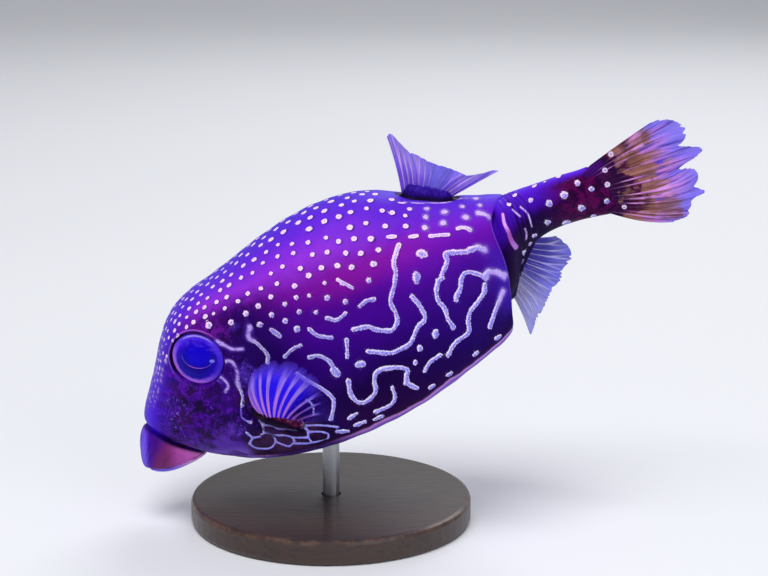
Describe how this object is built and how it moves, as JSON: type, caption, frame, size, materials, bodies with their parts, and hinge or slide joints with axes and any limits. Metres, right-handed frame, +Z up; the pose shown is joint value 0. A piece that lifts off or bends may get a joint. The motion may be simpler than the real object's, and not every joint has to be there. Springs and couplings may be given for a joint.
{
  "type": "reticulate boxfish model",
  "caption": "Life-size boxfish swimming nose down: hard angular shell, tubular tail stalk, small fins and protruding lips, held on a round base by a short rod.",
  "frame": {"origin": "centre of the stand base's underside, on the surface it stands on", "axes": "+Z up; the fish looks toward -X with its nose 30 degrees down, its left side toward -Y"},
  "size_m": [0.097, 0.05, 0.0739],
  "materials": {
    "back_skin": "wet-looking violet skin with small pale dots",
    "flank_skin": "wet-looking deep purple skin with pale wavy lines and dots",
    "lip_flesh": "soft pink and violet lip flesh",
    "eye_blue": "clear domed eye over a deep blue iris",
    "fin_flesh": "dark fleshy fin root",
    "fin_membrane": "thin violet membrane between pale rays",
    "tail_membrane": "thin amber and violet membrane between pink rays",
    "stand_wood": "dark stained satin wood",
    "stand_steel": "satin steel rod"
  },
  "bodies": {
    "root": {"head": "back_skin", "trunk": "flank_skin", "upper_lip": "lip_flesh", "lower_lip": "lip_flesh", "eye_left": "eye_blue", "eye_right": "eye_blue", "tail_stalk": "flank_skin", "dorsal_base": "fin_flesh", "dorsal_fin": "fin_membrane", "anal_base": "fin_flesh", "anal_fin": "fin_membrane", "caudal_fin": "tail_membrane", "pectoral_base_left": "fin_flesh", "pectoral_fin_left": "fin_membrane", "pectoral_base_right": "fin_flesh", "pectoral_fin_right": "fin_membrane", "stand_base": "stand_wood", "stand_rod": "stand_steel"}
  },
  "joints": []
}
